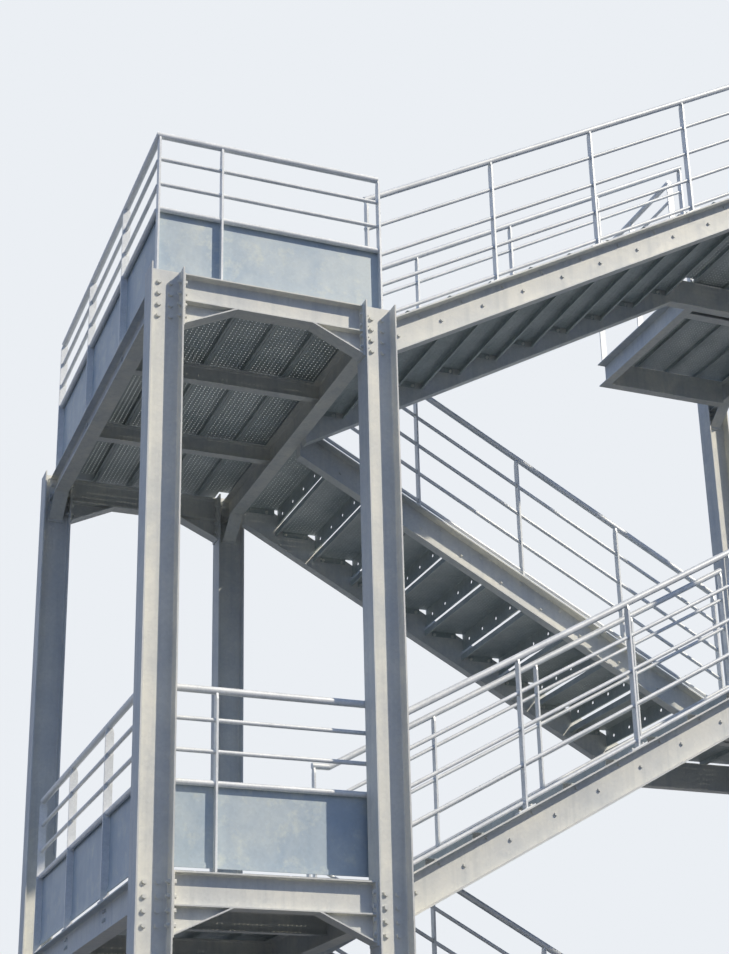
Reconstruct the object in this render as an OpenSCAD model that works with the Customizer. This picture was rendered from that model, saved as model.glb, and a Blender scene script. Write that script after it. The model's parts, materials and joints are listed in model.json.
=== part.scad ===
// Fire escape stair tower: an open steel dog-leg stair on six columns.
// Two landings stand on four columns at the left, two hang between the flights
// and a pair of end columns at the right. Front flights climb to the right,
// back flights climb to the left. Millimetres, X along the wall, Y towards it.

/* [Storey and flights] */
// Height of one storey, which is one back flight and one front flight
storey_h = 3500; // [3200:10:3800]
// Treads in each flight
flight_treads = 10; // [9:1:11]
// Going, the horizontal step from tread to tread
going = 300; // [270:5:320]
// Gap between the flange tips of a front flight and of a back flight
well_gap = 40; // [20:5:80]
// Gap between the back face of a front column and the flange tips beside it
flight_setback = 95; // [85:0.5:110]

/* [Landings] */
// Distance between the column centres of a left landing, along X
left_landing_l = 1325; // [1200:5:1600]
// Distance between the front and back column centres, along Y
landing_w = 3060; // [3030:5:3300]
// Distance from the flight end to the end columns of a right landing
right_landing_l = 1465; // [1300:5:1700]
// Deck edge past the inner column centre of a left landing
deck_past = 10; // [4:1:20]
// Planks across a left landing
left_planks = 5; // [4:1:6]
// Full planks across a right landing
right_planks = 4; // [3:1:5]
// Depth of the folded sides of a deck plank
plank_fold = 40; // [30:1:60]
// Gap between neighbouring planks
plank_gap = 3; // [2:0.5:6]
// Inward lip under each folded side of a plank or tread
lip = 14; // [8:1:20]
// Clear space left in the deck round a column head
head_clear = 6; // [3:1:12]

/* [Columns] */
// Depth of the column section, along X
col_d = 197; // [180:1:220]
// Flange width of the column section, along Y
col_w = 160; // [150:1:180]
// Web thickness of the column section
col_web = 7; // [5:0.5:10]
// Flange thickness of the column section
col_flange = 9; // [6:0.5:14]
// Column head above the top of the landing beams
col_head = 25; // [15:1:35]
// Side of the square base plates
base_w = 300; // [280:5:360]
// Thickness of the base plates
base_t = 20; // [12:1:30]
// Distance between the anchor holes of a base plate
anchor_gap = 230; // [225:5:240]
// Diameter of the anchor holes
anchor_d = 22; // [16:1:26]

/* [Beams] */
// Depth of the landing beams
beam_d = 180; // [160:1:200]
// Flange width of the landing beams
beam_w = 100; // [90:1:110]
// Web thickness of the landing beams
beam_web = 6; // [4:0.5:8]
// Flange thickness of the landing beams
beam_flange = 8; // [6:0.5:10]
// Depth of a cross beam and its haunch at the column
haunch_d = 335; // [300:5:360]
// Length of the haunches of the cross beams
haunch_l = 330; // [250:5:400]
// Length of the haunches of the side beams
side_haunch_l = 200; // [150:5:260]
// Thickness of the bolted end plates of the beams
end_plate_t = 12; // [8:1:16]
// End plate past the haunch and the top of the beam
end_plate_lap = 8; // [4:1:12]
// Depth of the joists under the deck
joist_d = 120; // [100:1:140]
// Flange width of the joists
joist_w = 64; // [50:1:80]
// Web thickness of the joists
joist_web = 5; // [4:0.5:7]
// Flange thickness of the joists
joist_flange = 6.5; // [5:0.5:9]
// Joists under a left landing
joist_count = 2; // [1:1:3]
// Root radius between the web and the flanges of rolled sections
root_r = 8; // [4:0.5:10]

/* [Stringers and treads] */
// Depth of the stringer channels, square to the slope
stringer_d = 212; // [200:1:240]
// Flange width of the stringer channels
stringer_w = 75; // [70:1:85]
// Web thickness of the stringer channels
stringer_web = 6; // [5:0.5:9]
// Flange thickness of the stringer channels
stringer_flange = 9; // [6:0.5:12]
// Drop from the nosing line to the top of the stringer, upright
nosing_drop = 44; // [25:1:60]
// Thickness of the end plates of the stringers
stringer_plate_t = 8; // [6:1:12]
// Sheet thickness of the treads and planks
sheet_t = 3; // [2:0.5:5]
// Depth of the folded back edge and of the end plates of a tread
tread_fold = 45; // [35:1:60]
// Gap under the riser, which is folded down from the nosing of a tread
riser_gap = 30; // [20:1:60]
// Overlap of each tread under the nosing of the next
tread_lap = 20; // [10:1:35]
// Inner bend radius of the folded sheet
bend_r = 4; // [3:0.5:8]
// Length of the plates that bolt a tread to the stringers
tread_plate_l = 200; // [160:5:220]
// Thickness of the plates that bolt a tread to the stringers
tread_plate_t = 5; // [4:0.5:8]
// Thickness of the foot plates under the lowest stringers
foot_t = 12; // [8:1:20]
// Length of the foot plates past the stringer on each side
foot_lap = 15; // [8:1:30]

/* [Guards] */
// Handrail top above the beams of a landing
guard_h = 1047; // [1000:1:1100]
// Handrail centre above the top of a stringer, upright
flight_guard_h = 930; // [880:5:980]
// Outer diameter of the handrails
handrail_d = 42.4; // [34:0.2:48]
// Diameter of the lower rails
rail_d = 25; // [18:0.5:30]
// Height of the lowest rail of a flight above the top of a stringer
low_rail = 50; // [40:1:80]
// Lower rails on a flight
flight_rails = 4; // [3:1:4]
// Height of the upper of the three lower rails of a landing
landing_rail_top = 858; // [820:1:880]
// Upright distance between the lower rails of a landing
landing_rail_gap = 176; // [160:1:190]
// Lower rails on a landing
landing_rails = 3; // [2:1:3]
// Diameter of the lowest rail of a landing
low_landing_rail_d = 34; // [25:0.5:38]
// Depth of the flat bar posts, square to the guard
post_d = 50; // [44:1:52]
// Thickness of the flat bar posts
post_t = 12; // [8:0.5:14]
// Height of the tapered top of a post, up to the handrail centre
post_taper = 48; // [30:1:60]
// Depth of a post at the handrail centre
post_top_w = 24; // [16:1:32]
// Length of the foot plates under the posts
post_foot_l = 110; // [80:5:130]
// Width of the foot plates under the posts
post_foot_w = 54; // [53:1:60]
// Thickness of the foot plates under the posts
post_foot_t = 8; // [6:0.5:12]
// First post of a flight guard past the deck edge, along X
first_post = 85; // [70:5:120]
// Second post of a flight guard past the deck edge, along X
second_post = 930; // [880:5:960]
// Distance between the middle posts of a flight guard, along X
post_gap = 780; // [700:5:800]
// Middle posts of a flight guard
middle_posts = 3; // [2:1:3]
// Gap between the back face of a front column and the posts behind it
guard_gap = 1; // [1:0.5:10]
// Front guard of a left landing past the inner column centre
guard_past = 75; // [60:1:85]
// Front post of a left landing from the corner post
front_post = 395; // [350:1:700]
// First post of a left side guard from the front column centres
first_side_post = 935; // [900:5:1000]
// Distance between the next posts of a left side guard
side_post_gap = 965; // [850:5:980]
// Posts of a side guard after the corner post
side_posts = 3; // [2:1:3]
// Level start of the inner handrail of a front flight
level_start = 100; // [60:5:140]
// Thickness of the sheet panels
panel_t = 2; // [1.5:0.5:4]
// Gap between the lowest rail and the sheet panel behind it
panel_gap = 0.5; // [0.5:0.5:3]
// Top of a sheet panel above the centre of the lowest rail
panel_rise = 5; // [0:1:12]
// Gap between the deck and the sheet panels
panel_lift = 13; // [5:1:30]
// Height of the flat strip at the foot of a sheet panel
strip_h = 30; // [20:1:50]
// Thickness of the flat strip at the foot of a sheet panel
strip_t = 6; // [3:0.5:8]

/* [Hidden] */

// Curves drawn as true arcs
$fn = 32;
// Small overlap that makes a cut or a union clean
eps = 1;

// Levels: the back flight has one riser more than its treads
riser = storey_h / (2 * flight_treads + 1);
back_rise = (flight_treads + 1) * riser;
level_1 = back_rise;
level_2 = storey_h;
level_3 = storey_h + back_rise;
level_4 = 2 * storey_h;
slope = riser / going;
pitch = atan(slope);
pitch_cos = cos(pitch);
riser_fold = riser - riser_gap;

// Places along X, measured from the left columns
deck_edge = left_landing_l + deck_past;
flight_end = deck_edge + flight_treads * going;
right_col_x = flight_end + right_landing_l;
stringer_start = left_landing_l + beam_w / 2;
stringer_stop = right_col_x - beam_w / 2;
right_deck_start = flight_end + going;

// Places along Y, measured from the front columns
outer_tip = col_w / 2 + flight_setback;
flight_w = (landing_w - 2 * outer_tip - well_gap) / 2;
front_flight_y = outer_tip;
back_flight_y = outer_tip + flight_w + well_gap;
tread_l = flight_w - 2 * stringer_w;
front_inner_tip = front_flight_y + flight_w;

// Guards
guard_out = (beam_w - post_d) / 2;
guard_y = col_w / 2 + guard_gap + post_d / 2;
handrail_z = guard_h - handrail_d / 2;
stringer_guard_in = stringer_w / 2;
foot_reach = post_foot_w / 2 + plank_gap;
flight_rail_gap = (flight_guard_h - low_rail) / flight_rails;
panel_in = low_landing_rail_d / 2 + panel_gap;
panel_top = landing_rail_top - (landing_rails - 1) * landing_rail_gap + panel_rise;
panel_bottom = plank_fold + panel_lift;
end_post_gap = (landing_w - outer_tip - front_flight_y - stringer_guard_in - post_t / 2)
    / side_posts;
middle_post_x = [for (k = [0 : middle_posts - 1]) deck_edge + second_post + k * post_gap];
first_post_x = deck_edge + first_post;
last_post_x = right_deck_start - rail_d;
foot_x = flight_end + going / 3;
outer_kink_x = deck_edge
    + (back_rise - riser - plank_fold + handrail_z + nosing_drop - flight_guard_h) / slope;

// Posts after the corner post: front and side of a left, then of a right landing
left_front_posts = [front_post, left_landing_l + guard_out + guard_past];
left_side_posts = [for (k = [0 : side_posts - 1]) first_side_post - guard_y + k * side_post_gap];
right_front_l = right_col_x + guard_out - outer_kink_x;
right_front_posts = [right_front_l / 2, right_front_l];
right_side_posts = [for (k = [1 : side_posts]) k * end_post_gap];

// Edges of the decks and the joist under the front edge of a left deck
left_deck_x = foot_reach - guard_out;
left_deck_y = guard_y + foot_reach;
right_deck_stop = right_col_x + guard_out - post_foot_w / 2;
edge_joist_y = col_w / 2 + guard_gap + joist_w / 2;

// Colours of the galvanised steel
section_grey = "lightgrey";
tread_grey = "darkgrey";
rail_grey = "gainsboro";
panel_grey = "lightsteelblue";

// Puts the middle of the footprint on the origin
module placed() {
    translate([-right_col_x / 2, -landing_w / 2, 0]) children();
}

// Extrudes a profile drawn in Y and Z along +X
module along_x(len) {
    rotate([90, 0, 90]) linear_extrude(len) children();
}

// Extrudes a profile drawn in X and Z along +Y
module along_y(len) {
    translate([0, len, 0]) rotate([90, 0, 0]) linear_extrude(len) children();
}

// Concave quarter fillet that fills the corner at the origin
module root_fillet(r) {
    difference() {
        square(r);
        translate([r, r]) circle(r);
    }
}

// Rolled I section, top at zero and centred on the web
module i_section(d, w, web, flange) {
    translate([-w / 2, -flange]) square([w, flange]);
    translate([-w / 2, -d]) square([w, flange]);
    translate([-web / 2, -d]) square([web, d]);
    for (side = [0, 1]) mirror([side, 0]) {
        translate([web / 2, flange - d]) root_fillet(root_r);
        translate([web / 2, -flange]) mirror([0, 1]) root_fillet(root_r);
    }
}

// Quarter ring of folded sheet, bending round the origin
module fold_arc() {
    intersection() {
        difference() {
            circle(bend_r + sheet_t);
            circle(bend_r);
        }
        square(bend_r + sheet_t);
    }
}

// Folded sheet channel, open below, with a lip under its front and its back fold
module folded_channel(w, front, back) {
    bend = bend_r + sheet_t;
    translate([bend, -sheet_t]) square([w - 2 * bend, sheet_t]);
    for (side = [0, 1]) translate([side * w, 0]) mirror([side, 0]) {
        depth = side == 0 ? front : back;
        translate([bend, -bend]) mirror([1, 0]) fold_arc();
        translate([0, -depth]) square([sheet_t, depth - bend]);
        translate([0, -depth]) square([lip, sheet_t]);
    }
}

// Column with its base plate
module column(x, y, top) {
    color(section_grey) translate([x, y, 0]) {
        translate([0, 0, base_t]) linear_extrude(top - base_t)
            rotate(90) translate([0, col_d / 2]) i_section(col_d, col_w, col_web, col_flange);
        linear_extrude(base_t) difference() {
            square(base_w, center = true);
            for (sx = [-1, 1], sy = [-1, 1])
                translate([sx, sy] * anchor_gap / 2) circle(d = anchor_d);
        }
    }
}

// Haunch under the end of a beam, from the end plate into the span
module haunch(len) {
    drop = haunch_d - beam_d;
    run = sqrt(len * len + drop * drop);
    translate([0, -beam_web / 2, 0]) along_y(beam_web)
        polygon([[0, eps - beam_d], [len, eps - beam_d], [len, -beam_d], [0, -haunch_d]]);
    translate([0, -beam_w / 2, 0]) along_y(beam_w)
        polygon([[0, -haunch_d], [len, -beam_d], [len - beam_flange * run / drop, -beam_d],
                 [0, beam_flange * run / len - haunch_d]]);
}

// Beam with a haunch and an end plate at both ends, top at zero
module haunched_beam(len, haunch_len) {
    along_x(len) i_section(beam_d, beam_w, beam_web, beam_flange);
    for (far = [0, 1]) translate([far * len, 0, 0]) mirror([far, 0, 0]) {
        haunch(haunch_len);
        translate([0, -beam_w / 2 - end_plate_lap, -haunch_d - end_plate_lap])
            cube([end_plate_t, beam_w + 2 * end_plate_lap, haunch_d + end_plate_lap]);
    }
}

// Front and back beams between the column flanges of a left landing
module cross_beams(level) {
    len = left_landing_l - col_d;
    color(section_grey) for (y = [0, landing_w])
        translate([col_d / 2, y, level - plank_fold]) haunched_beam(len, haunch_l);
}

// Beam along Y between the webs of a front and a back column
module side_beam(x, level) {
    translate([x, col_web / 2, level - plank_fold]) rotate(90)
        haunched_beam(landing_w - col_web, side_haunch_l);
}

// Side beams of a left landing with the joists between their webs
module floor_frame(level) {
    joists = [for (k = [1 : joist_count]) landing_w * k / (joist_count + 1)];
    color(section_grey) {
        for (x = [0, left_landing_l]) side_beam(x, level);
        for (y = concat([edge_joist_y], joists)) translate([0, y, level - plank_fold])
            along_x(left_landing_l) i_section(joist_d, joist_w, joist_web, joist_flange);
    }
}

// Room cut out of a deck round a column head
module column_head_cut(x, y, level) {
    cut_x = col_d + 2 * head_clear;
    cut_y = col_w + 2 * head_clear;
    translate([x - cut_x / 2, y - cut_y / 2, level - plank_fold - eps])
        cube([cut_x, cut_y, plank_fold + 2 * eps]);
}

// Row of deck planks running along Y
module planks(x, y, count, width, len, level) {
    for (k = [0 : count - 1])
        translate([x + k * width / count, y, level]) along_y(len)
            folded_channel(width / count - plank_gap, plank_fold, plank_fold);
}

// Deck of a left landing behind its front guard, notched round the back columns
module left_deck(level) {
    color(tread_grey) difference() {
        planks(left_deck_x, left_deck_y, left_planks, deck_edge - left_deck_x,
               landing_w + beam_w / 2 - left_deck_y, level);
        for (x = [0, left_landing_l]) column_head_cut(x, landing_w, level);
    }
}

// Deck of a right landing: full planks, and a short one with a riser at the flight
module right_deck(level) {
    y = front_flight_y + stringer_guard_in + foot_reach;
    full_l = landing_w - outer_tip - y;
    short_l = front_inner_tip - stringer_guard_in - foot_reach - y;
    color(tread_grey) {
        planks(right_deck_start, y, right_planks, right_deck_stop - right_deck_start, full_l,
               level);
        planks(flight_end, y, 1, going, short_l, level);
        translate([flight_end, front_flight_y + stringer_w, level - riser_fold])
            cube([sheet_t, tread_l, riser_fold - plank_fold + eps]);
    }
}

// Height of the top of a stringer at x; rise is 1 to the right or -1 to the left
function string_z(x, level, rise) = level - nosing_drop + rise * slope * (x - deck_edge);

// Level of the right landing that a flight from the left level reaches
function far_level(level, rise) = rise > 0 ? level + flight_treads * riser : level - back_rise;

// Place along X where a line parallel to the slope, lower by t, turns level
function kink_x(t, level, rise) =
    deck_edge + (far_level(level, rise) - plank_fold - string_z(deck_edge, level, rise)
    + t * (1 / pitch_cos - 1)) / (rise * slope);

// Band of the side view of a stringer between depths t0 and t1
function string_band(t0, t1, level, rise) = let (
    top = string_z(stringer_start, level, rise),
    flat = far_level(level, rise) - plank_fold
) [
    [stringer_start, top - t0 / pitch_cos], [kink_x(t0, level, rise), flat - t0],
    [stringer_stop, flat - t0], [stringer_stop, flat - t1],
    [kink_x(t1, level, rise), flat - t1], [stringer_start, top - t1 / pitch_cos]
];

// Side views of the web and the two flanges of a stringer
function string_bands(level, rise) = [
    string_band(0, stringer_d, level, rise),
    string_band(0, stringer_flange, level, rise),
    string_band(stringer_d - stringer_flange, stringer_d, level, rise)
];

// Level band of a channel between depths t0 and t1, from x0 to the end beam
function level_band(t0, t1, x0, top) = [
    [x0, top - t0], [stringer_stop, top - t0], [stringer_stop, top - t1], [x0, top - t1]
];

// Channel from three bands of its side view, web at y and flanges towards side
module string_channel(y, side, bands) {
    translate([0, y, 0]) mirror([0, side > 0 ? 0 : 1, 0]) {
        along_y(stringer_web) polygon(bands[0]);
        for (k = [1, 2]) along_y(stringer_w) polygon(bands[k]);
    }
}

// End plate of a stringer, as wide as its flanges
module string_plate(x, y, top, bottom) {
    translate([x, y, bottom]) cube([stringer_plate_t, stringer_w, top - bottom]);
}

// Places along Y of the web and of the end plate of the stringer on one side
function web_y(y, side) = side < 0 ? y + stringer_w : y + flight_w - stringer_w;
function plate_y(y, side) = side < 0 ? y : y + flight_w - stringer_w;

// Pair of stringers with end plates, flanges outwards
module stringers(y, level, rise) {
    start_top = string_z(stringer_start, level, rise);
    stop_top = far_level(level, rise) - plank_fold;
    color(section_grey) for (side = [-1, 1]) {
        string_channel(web_y(y, side), side, string_bands(level, rise));
        string_plate(stringer_start, plate_y(y, side), min(level - plank_fold, start_top),
                     start_top - stringer_d / pitch_cos);
        string_plate(stringer_stop - stringer_plate_t, plate_y(y, side), stop_top,
                     stop_top - stringer_d);
    }
}

// Pair of stringers that stands on the ground on foot plates
module ground_stringers(y, level) {
    start_top = string_z(stringer_start, level, -1);
    heel_x = flight_end + (riser - nosing_drop - foot_t - stringer_d / pitch_cos) / slope;
    color(section_grey) for (side = [-1, 1]) {
        intersection() {
            string_channel(web_y(y, side), side, string_bands(level, -1));
            translate([0, 0, foot_t]) cube([foot_x, landing_w, level]);
        }
        string_plate(stringer_start, plate_y(y, side), start_top,
                     start_top - stringer_d / pitch_cos);
        translate([heel_x - foot_lap, plate_y(y, side) - foot_lap, 0])
            cube([foot_x - heel_x + 2 * foot_lap, stringer_w + 2 * foot_lap, foot_t]);
    }
}

// One folded tread between the stringer webs, nosing and riser on its left
module tread(w, front, back) {
    along_y(tread_l) folded_channel(w, front, back);
    for (y = [0, tread_l - tread_plate_t])
        translate([(w - tread_plate_l) / 2, y, -back])
            cube([tread_plate_l, tread_plate_t, back - sheet_t / 2]);
}

// Treads of a front flight, the first one level with the landing
module front_treads(level) {
    color(tread_grey) for (k = [0 : flight_treads - 1])
        translate([deck_edge + k * going, front_flight_y + stringer_w, level + k * riser])
            if (k == 0) tread(going + tread_lap, plank_fold, plank_fold);
            else tread(going + tread_lap, riser_fold, tread_fold);
}

// Treads of a back flight; extra ones lie level with the right landing
module back_treads(level, extra) {
    first_w = deck_edge + going - stringer_start - plank_gap;
    color(tread_grey) for (k = [1 : flight_treads + extra])
        translate([deck_edge + k * going, back_flight_y + stringer_w, level - k * riser])
            mirror([1, 0, 0]) tread(k == 1 ? first_w : going + tread_lap,
                                    k > flight_treads ? tread_fold : riser_fold, tread_fold);
}

// Side view of a bar or a foot on the sloping top of a stringer, square at its top
function slope_bar(x, w, top, level, rise) = [
    [x - w / 2, string_z(x - w / 2, level, rise)], [x + w / 2, string_z(x + w / 2, level, rise)],
    [x + w / 2, top], [x - w / 2, top]
];
function slope_foot(x, w, t, level, rise) = [
    [x - w / 2, string_z(x - w / 2, level, rise)], [x + w / 2, string_z(x + w / 2, level, rise)],
    [x + w / 2, string_z(x + w / 2, level, rise) + t],
    [x - w / 2, string_z(x - w / 2, level, rise) + t]
];

// Flat bar post along X from x for a length t, tapering up to the handrail centre
module post_bar(x, t, base, top) {
    h = top - base;
    translate([x, 0, base]) along_x(t)
        polygon([[-post_d / 2, 0], [post_d / 2, 0], [post_d / 2, h - post_taper],
                 [post_top_w / 2, h], [-post_top_w / 2, h], [-post_d / 2, h - post_taper]]);
}

// Flat bar post on a level place
module level_post(x, base, top) {
    post_bar(x - post_t / 2, post_t, base, top);
}

// Flat bar post on the sloping top of a stringer
module slope_post(x, top, level, rise) {
    intersection() {
        translate([0, -post_d, 0]) along_y(2 * post_d)
            polygon(slope_bar(x, post_t, top + eps, level, rise));
        post_bar(x - post_t, 2 * post_t, string_z(x, level, rise) - post_t, top);
    }
}

// Middle post of a flight with its foot plate
module footed_post(x, level, rise) {
    slope_post(x, hand_z(x, level, rise), level, rise);
    translate([0, -post_foot_w / 2, 0]) along_y(post_foot_w)
        polygon(slope_foot(x, post_foot_l, post_foot_t / pitch_cos, level, rise));
}

// Round bar between two points of the side view
module bar(a, b, d) {
    run = b - a;
    translate([a[0], 0, a[1]]) rotate([0, atan2(run[0], run[1]), 0])
        cylinder(d = d, h = norm(run));
}

// Level round bar that turns up into the slope, mitred where it turns
module bent_bar(start, turn, stop, d) {
    for (past = [0, 1]) difference() {
        if (past == 0) bar(start, turn + [d, 0], d);
        else bar(turn - d * [pitch_cos, sin(pitch)], stop, d);
        translate([turn[0], 0, turn[1]]) rotate([0, -pitch / 2, 0])
            translate([-2 * d * past, -d, -d]) cube([2 * d, 2 * d, 2 * d]);
    }
}

// Centre height of a handrail at x
function hand_z(x, level, rise) = string_z(x, level, rise) + flight_guard_h;

// Handrail and lower rails of a flight from x0 to x1, level up to flat_x
module slope_rails(x0, x1, flat_x, level, rise) {
    for (k = [0 : flight_rails]) {
        drop = k * flight_rail_gap;
        start = [x0, hand_z(flat_x, level, rise) - drop];
        turn = [flat_x, hand_z(flat_x, level, rise) - drop];
        stop = [x1, hand_z(x1, level, rise) - drop];
        d = k == 0 ? handrail_d : rail_d;
        if (flat_x > x0) bent_bar(start, turn, stop, d);
        else bar(start, stop, d);
    }
}

// Inner guard of a front flight
module front_inner_guard(level) {
    flat_x = first_post_x + level_start;
    color(rail_grey) translate([0, front_inner_tip - stringer_guard_in, 0]) {
        slope_rails(first_post_x - post_t, last_post_x + post_t, flat_x, level, 1);
        slope_post(first_post_x, hand_z(flat_x, level, 1), level, 1);
        level_post(last_post_x, far_level(level, 1) - plank_fold, hand_z(last_post_x, level, 1));
        for (x = middle_post_x) footed_post(x, level, 1);
    }
}

// Outer guard of a front flight, ending at the post of the right landing
module front_outer_guard(level) {
    x0 = stringer_start - post_t;
    color(rail_grey) translate([0, front_flight_y + stringer_guard_in, 0]) {
        slope_rails(x0 - post_t, outer_kink_x - post_t / 2, x0 - post_t, level, 1);
        level_post(x0, level - plank_fold, hand_z(x0, level, 1));
        for (x = middle_post_x) footed_post(x, level, 1);
    }
}

// Guard of a back flight, on the stringer beside the front flight
module back_guard(level, stop_x) {
    color(rail_grey) translate([0, back_flight_y + stringer_guard_in, 0]) {
        slope_rails(first_post_x - post_t, stop_x + post_t, first_post_x - post_t, level, -1);
        for (x = [first_post_x, stop_x]) slope_post(x, hand_z(x, level, -1), level, -1);
        for (x = middle_post_x) footed_post(x, level, -1);
    }
}

// Level guard along X with the places of its posts and of its foot plates
module level_guard(x0, x1, lower_x0, posts, feet) {
    translate([x0, 0, handrail_z]) rotate([0, 90, 0]) cylinder(d = handrail_d, h = x1 - x0);
    for (k = [0 : landing_rails - 1])
        translate([lower_x0, 0, landing_rail_top - k * landing_rail_gap]) rotate([0, 90, 0])
            cylinder(d = k < landing_rails - 1 ? rail_d : low_landing_rail_d, h = x1 - lower_x0);
    for (x = posts) level_post(x, 0, handrail_z);
    for (x = feet) translate([x - post_foot_l / 2, -post_foot_w / 2, 0])
        cube([post_foot_l, post_foot_w, post_foot_t]);
}

// Wedge that mitres a handrail at a corner, on the side given by the angle
module mitre_cut(angle) {
    translate([0, 0, handrail_z]) rotate(angle)
        translate([-2 * handrail_d, -2 * handrail_d, -handrail_d / 2])
            cube([2 * handrail_d, 4 * handrail_d, handrail_d]);
}

// Guard along X from a corner at the origin, which has the corner post
module corner_front_guard(posts, feet) {
    difference() {
        level_guard(-handrail_d, max(posts), 0, concat([0], posts), feet);
        mitre_cut(-45);
    }
}

// Guard along Y from a corner at the origin, its last post without a foot plate
module corner_side_guard(posts) {
    rotate(90) difference() {
        level_guard(-handrail_d, max(posts), post_d / 2, posts,
                    [for (y = posts) if (y < max(posts)) y]);
        mitre_cut(45);
    }
}

// Sheet panels from x0 on between posts along X, with flat strips at their foot
module panel_row(x0, posts) {
    for (k = [0 : len(posts) - 1]) {
        start = k == 0 ? x0 : posts[k - 1] + post_t / 2;
        run = posts[k] - post_t / 2 - start;
        translate([start, panel_in, panel_bottom]) cube([run, panel_t, panel_top - panel_bottom]);
        translate([start, panel_in - strip_t, panel_bottom])
            cube([run, strip_t + panel_t / 2, strip_h]);
    }
}

// Sheet panels of two guards that meet at the origin
module corner_panels(front, side) {
    color(panel_grey) {
        panel_row(post_t / 2, front);
        mirror([1, -1, 0]) panel_row(panel_in, side);
    }
}

// Frames whose origin is the guard corner of a left or of a right landing
module left_corner(level) {
    translate([-guard_out, guard_y, level - plank_fold]) children();
}
module right_corner(level) {
    translate([right_col_x + guard_out, front_flight_y + stringer_guard_in, level - plank_fold])
        mirror([1, 0, 0]) children();
}

// Front guard of a left landing, its end post on a plate that reaches the side beam
module left_front_guard(level) {
    end_foot = max(left_front_posts) + (post_t - post_foot_l) / 2;
    color(rail_grey) left_corner(level)
        corner_front_guard(left_front_posts, [front_post, end_foot]);
}

// Side guard of a left landing
module left_side_guard(level) {
    color(rail_grey) left_corner(level) corner_side_guard(left_side_posts);
}

// Panels of a left landing
module left_panels(level) {
    left_corner(level) corner_panels(left_front_posts, left_side_posts);
}

// Front guard of a right landing, from the flight to the corner
module right_front_guard(level) {
    color(rail_grey) right_corner(level)
        corner_front_guard(right_front_posts, right_front_posts);
}

// Guard at the end of a right landing
module right_end_guard(level) {
    color(rail_grey) right_corner(level) corner_side_guard(right_side_posts);
}

// Panels of a right landing
module right_panels(level) {
    right_corner(level) corner_panels(right_front_posts, right_side_posts);
}

// Beam between the end columns that carries a right landing
module end_beam(level) {
    color(section_grey) side_beam(right_col_x, level);
}

// Channels that carry the back half of the top landing where no flight leaves it
module trimmer_frame(level) {
    top = level - plank_fold;
    x0 = right_deck_start - stringer_web;
    bands = [level_band(0, stringer_d, x0, top), level_band(0, stringer_flange, x0, top),
             level_band(stringer_d - stringer_flange, stringer_d, x0, top)];
    color(section_grey) {
        for (side = [-1, 1]) {
            string_channel(web_y(back_flight_y, side), side, bands);
            string_plate(stringer_stop - stringer_plate_t, plate_y(back_flight_y, side), top,
                         top - stringer_d);
        }
        translate([0, front_inner_tip, 0]) along_y(landing_w - outer_tip - front_inner_tip) {
            translate([x0, top - stringer_d]) square([stringer_web, stringer_d]);
            for (z = [top - stringer_flange, top - stringer_d])
                translate([right_deck_start - stringer_w, z])
                    square([stringer_w, stringer_flange]);
        }
    }
}

// Guard that closes the open edge of the top landing
module gap_guard(level) {
    y0 = back_flight_y + post_foot_l / 2;
    len = landing_w - outer_tip - post_foot_l / 2 - y0;
    color(rail_grey)
        translate([right_deck_start - stringer_guard_in, y0, level - plank_fold]) rotate(90)
            level_guard(0, len, 0, [0, len / 2, len], [0, len / 2, len]);
}

// Columns
left_col_h = level_3 - plank_fold + col_head;
right_col_h = level_4 - plank_fold + col_head;

placed() column(0, 0, left_col_h);  // front_left_column
placed() column(left_landing_l, 0, left_col_h);  // front_inner_column
placed() column(right_col_x, 0, right_col_h);  // front_right_column
placed() column(0, landing_w, left_col_h);  // back_left_column
placed() column(left_landing_l, landing_w, left_col_h);  // back_inner_column
placed() column(right_col_x, landing_w, right_col_h);  // back_right_column

// Left landings
placed() cross_beams(level_1);  // landing_1_cross_beams
placed() floor_frame(level_1);  // landing_1_floor_frame
placed() left_deck(level_1);  // landing_1_deck
placed() left_front_guard(level_1);  // landing_1_front_guard
placed() left_side_guard(level_1);  // landing_1_side_guard
placed() left_panels(level_1);  // landing_1_panels
placed() cross_beams(level_3);  // landing_3_cross_beams
placed() floor_frame(level_3);  // landing_3_floor_frame
placed() left_deck(level_3);  // landing_3_deck
placed() left_front_guard(level_3);  // landing_3_front_guard
placed() left_side_guard(level_3);  // landing_3_side_guard
placed() left_panels(level_3);  // landing_3_panels

// Right landings
placed() end_beam(level_2);  // landing_2_end_beam
placed() right_deck(level_2);  // landing_2_deck
placed() right_front_guard(level_2);  // landing_2_front_guard
placed() right_end_guard(level_2);  // landing_2_end_guard
placed() right_panels(level_2);  // landing_2_panels
placed() end_beam(level_4);  // landing_4_end_beam
placed() trimmer_frame(level_4);  // landing_4_trimmer_frame
placed() right_deck(level_4);  // landing_4_deck
placed() right_front_guard(level_4);  // landing_4_front_guard
placed() right_end_guard(level_4);  // landing_4_end_guard
placed() gap_guard(level_4);  // landing_4_gap_guard
placed() right_panels(level_4);  // landing_4_panels

// Back flights, then front flights
placed() ground_stringers(back_flight_y, level_1);  // flight_1_stringers
placed() back_treads(level_1, 0);  // flight_1_treads
placed() back_guard(level_1, foot_x - post_d);  // flight_1_guard
placed() stringers(back_flight_y, level_3, -1);  // flight_3_stringers
placed() back_treads(level_3, 1);  // flight_3_treads
placed() back_guard(level_3, last_post_x);  // flight_3_guard
placed() stringers(front_flight_y, level_1, 1);  // flight_2_stringers
placed() front_treads(level_1);  // flight_2_treads
placed() front_outer_guard(level_1);  // flight_2_outer_guard
placed() front_inner_guard(level_1);  // flight_2_inner_guard
placed() stringers(front_flight_y, level_3, 1);  // flight_4_stringers
placed() front_treads(level_3);  // flight_4_treads
placed() front_outer_guard(level_3);  // flight_4_outer_guard
placed() front_inner_guard(level_3);  // flight_4_inner_guard
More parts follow.
